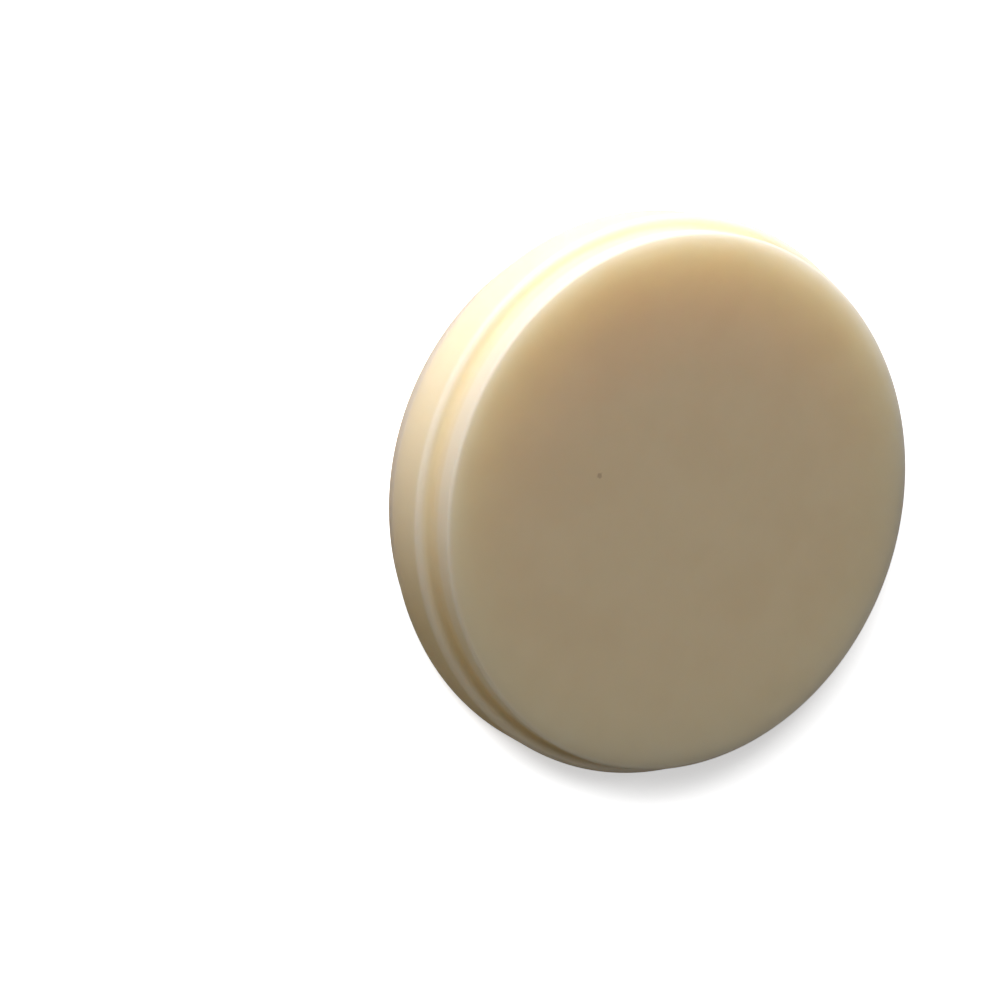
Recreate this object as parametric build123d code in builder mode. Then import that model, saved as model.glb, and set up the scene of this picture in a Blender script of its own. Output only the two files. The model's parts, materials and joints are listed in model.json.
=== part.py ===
"""Stepped round blank with a wider clamping flange round its middle."""

import os

from build123d import *

os.makedirs("parts", exist_ok=True)

# Sizes of the blank, in millimetres
flange_diameter = 98.5
flange_thickness = 10.0
shoulder_width = 2.5
boss_height = 6.0

# Broken edges: the boss ends are rounded and the flange has small chamfers
boss_edge_radius = 0.6
flange_edge_chamfer = 0.6

# Places that follow from the sizes
flange_radius = flange_diameter / 2
boss_radius = flange_radius - shoulder_width
flange_bottom = boss_height
flange_top = flange_bottom + flange_thickness
blank_top = flange_top + boss_height

# One solid, turned about +Z from half of its cross-section
with BuildPart() as disc_blank:
    with BuildSketch(Plane.XZ) as half_section:
        with BuildLine():
            Polyline(
                (0, 0),
                (boss_radius, 0),
                (boss_radius, flange_bottom),
                (flange_radius, flange_bottom),
                (flange_radius, flange_top),
                (boss_radius, flange_top),
                (boss_radius, blank_top),
                (0, blank_top),
                close=True,
            )
        make_face()
    revolve(axis=Axis.Z)

    rims = disc_blank.edges().filter_by(GeomType.CIRCLE)
    end_edges = rims.group_by(Axis.Z)[0] + rims.group_by(Axis.Z)[-1]
    flange_edges = rims.group_by(SortBy.RADIUS)[-1]
    fillet(end_edges, boss_edge_radius)
    chamfer(flange_edges, flange_edge_chamfer)

disc_blank.part.label = "disc_blank"
export_step(disc_blank.part, "parts/disc_blank.step")
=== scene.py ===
"""Looks of a stepped round blank: one turned piece of ivory resin, lying on a pale floor."""

from __future__ import annotations

import json
import logging
import math
from dataclasses import dataclass
from enum import Enum

import bmesh
import bpy
from mathutils import Matrix, Vector


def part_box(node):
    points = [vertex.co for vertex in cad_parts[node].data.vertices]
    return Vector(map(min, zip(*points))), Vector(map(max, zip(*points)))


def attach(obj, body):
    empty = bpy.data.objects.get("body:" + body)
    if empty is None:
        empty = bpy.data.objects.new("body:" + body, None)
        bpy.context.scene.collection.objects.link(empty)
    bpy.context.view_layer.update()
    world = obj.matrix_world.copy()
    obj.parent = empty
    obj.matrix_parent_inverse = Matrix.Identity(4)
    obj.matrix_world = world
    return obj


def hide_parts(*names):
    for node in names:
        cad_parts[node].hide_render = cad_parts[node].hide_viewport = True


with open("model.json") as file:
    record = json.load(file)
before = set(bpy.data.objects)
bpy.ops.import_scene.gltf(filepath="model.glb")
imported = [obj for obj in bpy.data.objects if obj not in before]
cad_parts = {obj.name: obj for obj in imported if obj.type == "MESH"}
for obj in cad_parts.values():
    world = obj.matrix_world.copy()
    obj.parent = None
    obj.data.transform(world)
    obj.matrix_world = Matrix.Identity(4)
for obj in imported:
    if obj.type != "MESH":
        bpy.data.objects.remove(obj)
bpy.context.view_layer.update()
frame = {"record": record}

MM = 0.001
BODY = "root"

Colour = tuple[float, float, float]
Place = tuple[float, float, float]
WHITE: Colour = (1.0, 1.0, 1.0)

# Nearly all of a noise pattern lies between these two
NOISE_LOW = 0.3
NOISE_HIGH = 0.7

log = logging.getLogger("blank")


class Corner(Enum):
    """How a corner of the blank's half-section is finished."""

    POINTED = "pointed"
    SHOULDER = "shoulder"
    FLANGE_EDGE = "flange edge"
    BOSS_END = "boss end"


class Visibility(Enum):
    """Which rays meet a floor sheet."""

    CAMERA_ONLY = "camera"
    BOUNCE_ONLY = "bounce"


class Reach(Enum):
    """What a light falls on. A low light that spares the floor throws no long shadow there."""

    BLANK = "blank"
    FLOOR = "floor"


@dataclass(frozen=True)
class ShadeTree:
    """Short ways to add and join shader nodes in one node tree."""

    tree: bpy.types.NodeTree

    def add(self, kind: str, **inputs: object) -> bpy.types.Node:
        """Adds a node and sets inputs by name.

        Args:
            kind: The node's Blender type name.
            inputs: Values for its sockets, with an underscore for each space in the socket's name.

        Returns:
            The new node.
        """
        node = self.tree.nodes.new(kind)
        for name, value in inputs.items():
            node.inputs[name.replace("_", " ")].default_value = value
        return node

    def join(self, source: bpy.types.NodeSocket, target: bpy.types.NodeSocket) -> None:
        """Links two sockets."""
        self.tree.links.new(source, target)

    def noise(
        self, place: bpy.types.NodeSocket, size: float, detail: float, roughness: float = 0.5
    ) -> bpy.types.NodeSocket:
        """Adds a noise pattern.

        Args:
            place: The point on the piece.
            size: How broad its patches are, in metres.
            detail: How many finer layers it has.
            roughness: How strong the finer layers are.

        Returns:
            The pattern.
        """
        node = self.add("ShaderNodeTexNoise", Scale=1 / size, Detail=detail, Roughness=roughness)
        self.join(place, node.inputs["Vector"])
        return node.outputs["Fac"]

    def math(self, operation: str, first: bpy.types.NodeSocket, second: object = 0.0) -> bpy.types.NodeSocket:
        """Adds a maths node.

        Args:
            operation: The node's operation, such as MULTIPLY.
            first: The socket that feeds its first input.
            second: A socket or a number for its second input.

        Returns:
            The node's result.
        """
        node = self.add("ShaderNodeMath")
        node.operation = operation
        self.join(first, node.inputs[0])
        if isinstance(second, bpy.types.NodeSocket):
            self.join(second, node.inputs[1])
        else:
            node.inputs[1].default_value = second
        return node.outputs[0]

    def vector(
        self, operation: str, first: bpy.types.NodeSocket, second: Place = (0.0, 0.0, 0.0)
    ) -> bpy.types.Node:
        """Adds a vector maths node.

        Args:
            operation: The node's operation, such as DISTANCE.
            first: The socket that feeds its first input.
            second: Three numbers for its second input.

        Returns:
            The node, whose result is its output Vector or Value.
        """
        node = self.add("ShaderNodeVectorMath")
        node.operation = operation
        self.join(first, node.inputs[0])
        node.inputs[1].default_value = second
        return node

    def spread(
        self, source: bpy.types.NodeSocket, low: float, high: float, to_low: float, to_high: float
    ) -> bpy.types.NodeSocket:
        """Maps a value from one range to another, smoothly and without leaving it.

        Args:
            source: The value to map.
            low: The start of its range.
            high: The end of its range.
            to_low: What the start becomes.
            to_high: What the end becomes.

        Returns:
            The mapped value.
        """
        node = self.add(
            "ShaderNodeMapRange", From_Min=low, From_Max=high, To_Min=to_low, To_Max=to_high
        )
        node.interpolation_type = "SMOOTHSTEP"
        self.join(source, node.inputs["Value"])
        return node.outputs["Result"]

    def blend(self, amount: bpy.types.NodeSocket, first: object, second: object) -> bpy.types.NodeSocket:
        """Mixes two colours. The mix node's colour sockets share their names, so they go by number.

        Args:
            amount: How much of the second colour shows, from 0 to 1.
            first: A colour or a socket.
            second: A colour or a socket.

        Returns:
            The mixed colour.
        """
        node = self.add("ShaderNodeMix")
        node.data_type = "RGBA"
        self.join(amount, node.inputs[0])
        for socket, value in ((node.inputs[6], first), (node.inputs[7], second)):
            if isinstance(value, bpy.types.NodeSocket):
                self.join(value, socket)
            else:
                socket.default_value = (*value, 1.0)
        return node.outputs[2]


@dataclass(frozen=True)
class IvoryResin:
    """Satin tooth-coloured resin that lets light some way in, with one dark grain in its upper face and a
    painted highlight along its edges.
    """

    pale: Colour = (0.80, 0.648, 0.42)
    deep: Colour = (0.785, 0.628, 0.40)
    cloud_size: float = 14 * MM
    cloud_roughness: float = 0.55
    cloud_low: float = 0.35
    cloud_high: float = 0.65
    # Painted highlight: the paler colour laid on bands round the boss ends and the flange's edges, in place
    # of the sheen that light leaves there
    edge_highlight_colour: Colour = (0.81, 0.67, 0.48)
    boss_highlight_band: float = 3.6 * MM
    flange_highlight_band: float = 1.0 * MM
    highlight_fade: float = 1.2 * MM
    grain_colour: Colour = (0.60, 0.46, 0.29)
    grain_place: Place = (-0.09 * MM, -19.61 * MM, 22.0 * MM)
    grain_radius: float = 0.46 * MM
    grain_raggedness: float = 0.3
    ragged_size: float = 0.414 * MM
    tooling_size: float = 0.22 * MM
    matte_low: float = 0.58
    matte_high: float = 0.66
    relief: float = 0.012 * MM
    relief_strength: float = 0.5
    refraction: float = 1.49
    light_reach: Colour = (1.0, 0.82, 0.66)
    reach_scale: float = 31.0 * MM
    scatter_share: float = 0.7

    def clouds(self, nodes: ShadeTree, place: bpy.types.NodeSocket) -> bpy.types.NodeSocket:
        """Mixes the resin's two close shades in broad soft clouds.

        Args:
            nodes: The material's nodes.
            place: The point on the blank.

        Returns:
            The clouded colour.
        """
        pattern = nodes.noise(place, self.cloud_size, 3.0, self.cloud_roughness)
        share = nodes.spread(pattern, self.cloud_low, self.cloud_high, 0.0, 1.0)
        return nodes.blend(share, self.pale, self.deep)

    def painted_edge_highlights(
        self, nodes: ShadeTree, place: bpy.types.NodeSocket, blank: SteppedBlank
    ) -> bpy.types.NodeSocket:
        """Finds the bands round the boss ends and the flange's edges that get a painted highlight, a paler
        colour that stands in for the whiter sheen of light on those edges.

        Args:
            nodes: The material's nodes.
            place: The point on the blank.
            blank: The blank, for its sizes.

        Returns:
            A share from 0, away from the bands, to 1 on them.
        """
        middle = blank.height / 2
        half_fade = self.highlight_fade / 2
        parts = nodes.add("ShaderNodeSeparateXYZ")
        nodes.join(place, parts.inputs[0])
        level = nodes.math("ABSOLUTE", nodes.math("SUBTRACT", parts.outputs["Z"], middle))
        flattened = nodes.vector("MULTIPLY", place, (1.0, 1.0, 0.0)).outputs["Vector"]
        radius = nodes.vector("LENGTH", flattened).outputs["Value"]

        boss_start = middle - self.boss_highlight_band
        boss_rim = blank.boss_radius
        on_boss = nodes.math(
            "MULTIPLY",
            nodes.spread(level, boss_start - half_fade, boss_start + half_fade, 0.0, 1.0),
            nodes.spread(radius, boss_rim - self.highlight_fade, boss_rim, 0.0, 1.0),
        )
        flange_start = blank.flange_top - middle - self.flange_highlight_band
        flange_rim = blank.flange_radius - half_fade
        on_flange = nodes.math(
            "MULTIPLY",
            nodes.spread(level, flange_start - half_fade, flange_start + half_fade, 0.0, 1.0),
            nodes.spread(radius, flange_rim - self.highlight_fade, flange_rim, 0.0, 1.0),
        )
        return nodes.math("MAXIMUM", on_boss, on_flange)

    def grain(self, nodes: ShadeTree, place: bpy.types.NodeSocket) -> bpy.types.NodeSocket:
        """Finds the one dark grain, a spot with a ragged and soft edge.

        Args:
            nodes: The material's nodes.
            place: The point on the blank.

        Returns:
            A share from 0, away from the grain, to 1 on it.
        """
        smallest = 1 - self.grain_raggedness
        largest = 1 + self.grain_raggedness
        pattern = nodes.noise(place, self.ragged_size, 2.0)
        ragged_radius = nodes.spread(
            pattern, NOISE_LOW, NOISE_HIGH, self.grain_radius * smallest, self.grain_radius * largest
        )
        away = nodes.vector("DISTANCE", place, self.grain_place).outputs["Value"]
        return nodes.spread(nodes.math("DIVIDE", away, ragged_radius), smallest, largest, 1.0, 0.0)

    def satin(self, nodes: ShadeTree, place: bpy.types.NodeSocket, shader: bpy.types.Node) -> None:
        """Gives the surface its uneven satin sheen and the fine relief that cutting leaves.

        Args:
            nodes: The material's nodes.
            place: The point on the blank.
            shader: The shader that gets them.
        """
        tooling = nodes.noise(place, self.tooling_size, 2.0)
        matte = nodes.spread(tooling, NOISE_LOW, NOISE_HIGH, self.matte_low, self.matte_high)
        nodes.join(matte, shader.inputs["Roughness"])
        bump = nodes.add("ShaderNodeBump", Strength=self.relief_strength, Distance=self.relief)
        nodes.join(tooling, bump.inputs["Height"])
        nodes.join(bump.outputs["Normal"], shader.inputs["Normal"])

    def build(self, blank: SteppedBlank) -> bpy.types.Material:
        """Makes the material.

        Args:
            blank: The blank that it is for.

        Returns:
            The material.
        """
        material = bpy.data.materials.new("ivory_resin")
        material.use_nodes = True
        nodes = ShadeTree(material.node_tree)
        shader = material.node_tree.nodes["Principled BSDF"]
        place = nodes.add("ShaderNodeTexCoord").outputs["Object"]

        clouded = self.clouds(nodes, place)
        # Paints the edge highlight over the clouded resin colour
        ivory = nodes.blend(self.painted_edge_highlights(nodes, place, blank), clouded, self.edge_highlight_colour)
        colour = nodes.blend(self.grain(nodes, place), ivory, self.grain_colour)
        nodes.join(colour, shader.inputs["Base Color"])
        self.satin(nodes, place, shader)

        shader.inputs["IOR"].default_value = self.refraction
        shader.inputs["Subsurface Weight"].default_value = self.scatter_share
        shader.inputs["Subsurface Radius"].default_value = self.light_reach
        shader.inputs["Subsurface Scale"].default_value = self.reach_scale
        return material


@dataclass(frozen=True)
class FloorFinish:
    """Pale matt floor, faintly mottled. The glow stands for the even light that keeps it near white."""

    name: str
    colour: Colour
    glow: float
    mottle_scale: float = 60.0
    mottle_shade: float = 0.985
    roughness: float = 0.9

    def build(self) -> bpy.types.Material:
        """Makes the material.

        Returns:
            The material.
        """
        material = bpy.data.materials.new(self.name)
        material.use_nodes = True
        nodes = ShadeTree(material.node_tree)
        shader = material.node_tree.nodes["Principled BSDF"]
        place = nodes.add("ShaderNodeTexCoord").outputs["Object"]
        mottle = nodes.noise(place, 1 / self.mottle_scale, 4.0)
        share = nodes.spread(mottle, NOISE_LOW, NOISE_HIGH, 0.0, 1.0)
        darker = tuple(self.mottle_shade * part for part in self.colour)
        nodes.join(nodes.blend(share, self.colour, darker), shader.inputs["Base Color"])
        shader.inputs["Roughness"].default_value = self.roughness
        shader.inputs["Specular IOR Level"].default_value = 0.0
        shader.inputs["Emission Color"].default_value = (*self.colour, 1.0)
        shader.inputs["Emission Strength"].default_value = self.glow
        return material


@dataclass
class SteppedBlank:
    """The blank: a round body with a wider clamping flange round its middle."""

    flange_radius: float
    boss_radius: float
    flange_bottom: float
    flange_top: float
    height: float
    edge_cut: float
    end_rounding: float
    shoulder_rounding: float = 1.1 * MM
    ring_step: float = 2.0 * MM
    arc_steps: int = 8
    turns: int = 320

    @classmethod
    def from_frame(cls, node: str) -> SteppedBlank:
        """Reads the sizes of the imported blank.

        Args:
            node: The name of its node.

        Returns:
            The blank at its real size.
        """
        mounts = {mount["name"]: mount for mount in frame["record"]["mounts"]}
        rim = mounts["flange_rim"]["dims"]
        boss = mounts["upper_boss"]["dims"]
        flange_bottom = mounts["lower_shoulder"]["pos_m"][2]
        flange_top = mounts["upper_shoulder"]["pos_m"][2]
        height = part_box(node)[1][2]
        return cls(
            flange_radius=rim["r_mm"] * MM,
            boss_radius=boss["r_mm"] * MM,
            flange_bottom=flange_bottom,
            flange_top=flange_top,
            height=height,
            edge_cut=(flange_top - flange_bottom - rim["length_mm"] * MM) / 2,
            end_rounding=height - flange_top - boss["length_mm"] * MM,
        )

    def corners(self) -> list[tuple[float, float, Corner]]:
        """Lists the corners of the half-section, from the lower face up.

        Returns:
            The radius, the height and the finish of each corner.
        """
        inner = self.boss_radius
        outer = self.flange_radius
        low = self.flange_bottom
        high = self.flange_top
        return [
            (0.0, 0.0, Corner.POINTED),
            (inner, 0.0, Corner.BOSS_END),
            (inner, low, Corner.SHOULDER),
            (outer, low, Corner.FLANGE_EDGE),
            (outer, high, Corner.FLANGE_EDGE),
            (inner, high, Corner.SHOULDER),
            (inner, self.height, Corner.BOSS_END),
            (0.0, self.height, Corner.POINTED),
        ]

    def rounding(self, finish: Corner) -> float:
        """Looks up the rounding of a corner.

        Args:
            finish: How the corner is finished.

        Returns:
            Its radius. A flange edge's rounding touches the middle of the chamfer that it stands for.
        """
        return {
            Corner.POINTED: 0.0,
            Corner.SHOULDER: self.shoulder_rounding,
            Corner.FLANGE_EDGE: self.edge_cut / (2 - math.sqrt(2)),
            Corner.BOSS_END: self.end_rounding,
        }[finish]

    def rounded(self, before: Vector, corner: Vector, after: Vector, radius: float) -> list[Vector]:
        """Rounds one corner of the half-section.

        Args:
            before: The corner that comes before it.
            corner: The corner itself.
            after: The corner that comes after it.
            radius: Its rounding.

        Returns:
            The points of its arc, or the corner alone where it stays sharp.
        """
        if radius == 0.0:
            return [corner]
        arriving = (before - corner).normalized()
        leaving = (after - corner).normalized()
        half = arriving.angle(leaving) / 2
        centre = corner + (arriving + leaving).normalized() * radius / math.sin(half)
        reach = radius / math.tan(half)
        start = corner + arriving * reach - centre
        end = corner + leaving * reach - centre
        sweep = start.angle_signed(end)
        return [
            centre + Matrix.Rotation(-sweep * step / self.arc_steps, 2) @ start
            for step in range(self.arc_steps + 1)
        ]

    def section(self) -> list[Vector]:
        """Works out the half-section, with its corners rounded and its long runs divided.

        Returns:
            Its points as radius and height, from the lower face up.
        """
        corners = [(Vector((radius, height)), finish) for radius, height, finish in self.corners()]
        outline: list[Vector] = []
        for index, (corner, finish) in enumerate(corners):
            before = corners[max(index - 1, 0)][0]
            after = corners[min(index + 1, len(corners) - 1)][0]
            outline += self.rounded(before, corner, after, self.rounding(finish))
        points = [outline[0]]
        for start, end in zip(outline, outline[1:]):
            pieces = max(1, math.ceil((end - start).length / self.ring_step))
            points += [start.lerp(end, step / pieces) for step in range(1, pieces + 1)]
        return points

    def ring(self, shape: bmesh.types.BMesh, radius: float, height: float) -> list[bmesh.types.BMVert]:
        """Places one ring of the turned mesh.

        Args:
            shape: The mesh that gets it.
            radius: Its radius.
            height: Its height.

        Returns:
            The ring's points, or a single one on the axis.
        """
        if math.isclose(radius, 0.0, abs_tol=1e-9):
            return [shape.verts.new((0.0, 0.0, height))]
        angles = [2 * math.pi * turn / self.turns for turn in range(self.turns)]
        return [shape.verts.new((radius * math.cos(a), radius * math.sin(a), height)) for a in angles]

    def build(self, name: str, finish: bpy.types.Material) -> bpy.types.Object:
        """Turns the half-section about the axis into a closed mesh.

        Args:
            name: The name of the new piece.
            finish: Its material.

        Returns:
            The piece, linked to the scene.
        """
        shape = bmesh.new()
        rings = [self.ring(shape, point.x, point.y) for point in self.section()]
        for below, above in zip(rings, rings[1:]):
            for turn in range(self.turns):
                following = (turn + 1) % self.turns
                if len(below) == 1:
                    shape.faces.new((below[0], above[following], above[turn]))
                elif len(above) == 1:
                    shape.faces.new((below[turn], below[following], above[0]))
                else:
                    shape.faces.new((below[turn], below[following], above[following], above[turn]))
        bmesh.ops.recalc_face_normals(shape, faces=shape.faces)
        mesh = bpy.data.meshes.new(name)
        shape.to_mesh(mesh)
        shape.free()
        mesh.shade_smooth()
        mesh.materials.append(finish)
        piece = bpy.data.objects.new(name, mesh)
        bpy.context.scene.collection.objects.link(piece)
        return piece


@dataclass(frozen=True)
class SoftLight:
    """One softbox, placed round the blank by compass angle and by height above the floor in degrees.

    It is a long low strip unless it says otherwise.
    """

    name: str
    compass: float
    elevation: float
    watts: float
    width: float = 0.4
    height: float = 0.06
    colour: Colour = WHITE
    reach: Reach = Reach.BLANK
    distance: float = 0.9

    def build(self, target: Vector, receivers: dict[Reach, bpy.types.Collection]) -> None:
        """Hangs the light so that it faces the target.

        Args:
            target: The point it faces.
            receivers: The collection that goes with each reach.
        """
        lamp = bpy.data.lights.new(self.name, "AREA")
        lamp.shape = "RECTANGLE"
        lamp.size = self.width
        lamp.size_y = self.height
        lamp.energy = self.watts
        lamp.color = self.colour
        bearing = math.radians(self.compass)
        rise = math.radians(self.elevation)
        away = Vector((
            math.cos(bearing) * math.cos(rise),
            math.sin(bearing) * math.cos(rise),
            math.sin(rise),
        ))
        light = bpy.data.objects.new(self.name, lamp)
        light.location = target + away * self.distance
        light.rotation_euler = away.to_track_quat("Z", "Y").to_euler()
        light.light_linking.receiver_collection = receivers[self.reach]
        bpy.context.scene.collection.objects.link(light)


@dataclass
class Studio:
    """The pale floor, the soft lights and the plain backdrop.

    The floor is two sheets: the camera sees the upper one, and the lower one lights the blank.
    """

    floor_size: float = 6.0
    seen_floor: FloorFinish = FloorFinish("pale_floor", WHITE, 0.57)
    bounce_floor: FloorFinish = FloorFinish("bounce_floor", (1.0, 0.86, 0.68), 0.06)
    bounce_gap: float = 0.2 * MM
    backdrop: float = 0.62
    lights: tuple[SoftLight, ...] = (
        SoftLight("key", -160.0, 2.5, 6.1),
        SoftLight("key_side", -140.0, 2.5, 8.2, colour=(0.86, 0.87, 1.0)),
        SoftLight("key_high", -160.0, 20.0, 1.7, width=0.3, height=0.1),
        SoftLight("top", -165.0, 80.0, 2.14, width=0.2, height=0.2, colour=(0.97, 0.985, 0.97)),
        SoftLight("side_fill", -73.0, 3.0, 1.5, colour=(1.0, 0.97, 0.84)),
        SoftLight("low_fill", -45.0, 3.0, 0.2),
        SoftLight("far_fill", 90.0, 4.0, 1.05, colour=(1.0, 0.92, 0.88)),
        SoftLight("floor_light", -113.0, 46.6, 10.5, width=0.28, height=0.28, reach=Reach.FLOOR),
    )

    def lay(self, name: str, height: float, finish: FloorFinish, seen: Visibility) -> bpy.types.Object:
        """Lays one floor sheet.

        Args:
            name: The name of the sheet.
            height: Its height.
            finish: Its finish.
            seen: Which rays meet it.

        Returns:
            The sheet.
        """
        half = self.floor_size / 2
        mesh = bpy.data.meshes.new(name)
        rim = [(-half, -half, height), (half, -half, height), (half, half, height), (-half, half, height)]
        mesh.from_pydata(rim, [], [(0, 1, 2, 3)])
        mesh.materials.append(finish.build())
        sheet = bpy.data.objects.new(name, mesh)
        bpy.context.scene.collection.objects.link(sheet)
        camera_only = seen is Visibility.CAMERA_ONLY
        sheet.visible_camera = camera_only
        sheet.visible_diffuse = not camera_only
        sheet.visible_glossy = not camera_only
        sheet.visible_transmission = not camera_only
        sheet.visible_shadow = not camera_only
        return sheet

    def hang_backdrop(self) -> None:
        """Sets an even pale background that only the camera sees, so it lights nothing."""
        world = bpy.data.worlds.new("studio")
        world.use_nodes = True
        sky = world.node_tree.nodes["Background"]
        sky.inputs["Color"].default_value = (*WHITE, 1.0)
        sky.inputs["Strength"].default_value = self.backdrop
        world.cycles_visibility.diffuse = False
        world.cycles_visibility.glossy = False
        world.cycles_visibility.transmission = False
        world.cycles_visibility.scatter = False
        bpy.context.scene.world = world

    def build(self, blank: bpy.types.Object, target: Vector) -> None:
        """Lays the floor, hangs the lights and sets the backdrop.

        Args:
            blank: The piece that the lights reach.
            target: The point that the lights face.
        """
        floor = self.lay("floor", 0.0, self.seen_floor, Visibility.CAMERA_ONLY)
        self.lay("floor_bounce", -self.bounce_gap, self.bounce_floor, Visibility.BOUNCE_ONLY)
        receivers = {reach: bpy.data.collections.new(reach.value) for reach in Reach}
        receivers[Reach.BLANK].objects.link(blank)
        receivers[Reach.FLOOR].objects.link(floor)
        for light in self.lights:
            light.build(target, receivers)
        self.hang_backdrop()
        bpy.context.scene.view_settings.view_transform = "Standard"


@dataclass(frozen=True)
class ViewPoint:
    """The camera, which looks down on the blank at the angle that shows its face as the photograph does."""

    place: Place = (0.0, -217.29 * MM, 322.58 * MM)
    aim: Place = (9.531 * MM, -31.798 * MM, 16.0 * MM)
    roll: float = 111.36
    lens: float = 77.30
    sensor: float = 36.0
    nearest: float = 10 * MM

    def build(self) -> None:
        """Sets up the scene's camera."""
        eye = bpy.data.cameras.new("camera")
        eye.lens = self.lens
        eye.sensor_width = self.sensor
        eye.clip_start = self.nearest
        camera = bpy.data.objects.new("camera", eye)
        camera.location = self.place
        gaze = Vector(self.aim) - Vector(self.place)
        upright = gaze.to_track_quat("-Z", "Y").to_matrix()
        camera.rotation_euler = (upright @ Matrix.Rotation(math.radians(self.roll), 3, "Z")).to_euler()
        bpy.context.scene.collection.objects.link(camera)
        bpy.context.scene.camera = camera


def main() -> None:
    """Builds the blank, then the studio and the camera."""
    logging.basicConfig(level=logging.INFO, format="%(name)s: %(message)s")
    blank = SteppedBlank.from_frame("disc_blank")
    piece = blank.build("turned_blank", IvoryResin().build(blank))
    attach(piece, BODY)
    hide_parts("disc_blank")
    log.info("turned_blank: %d faces", len(piece.data.polygons))

    Studio().build(piece, Vector((0.0, 0.0, blank.height / 2)))
    log.info("studio: floor and lights")
    ViewPoint().build()
    log.info("camera: in place")


if __name__ == "__main__":
    main()
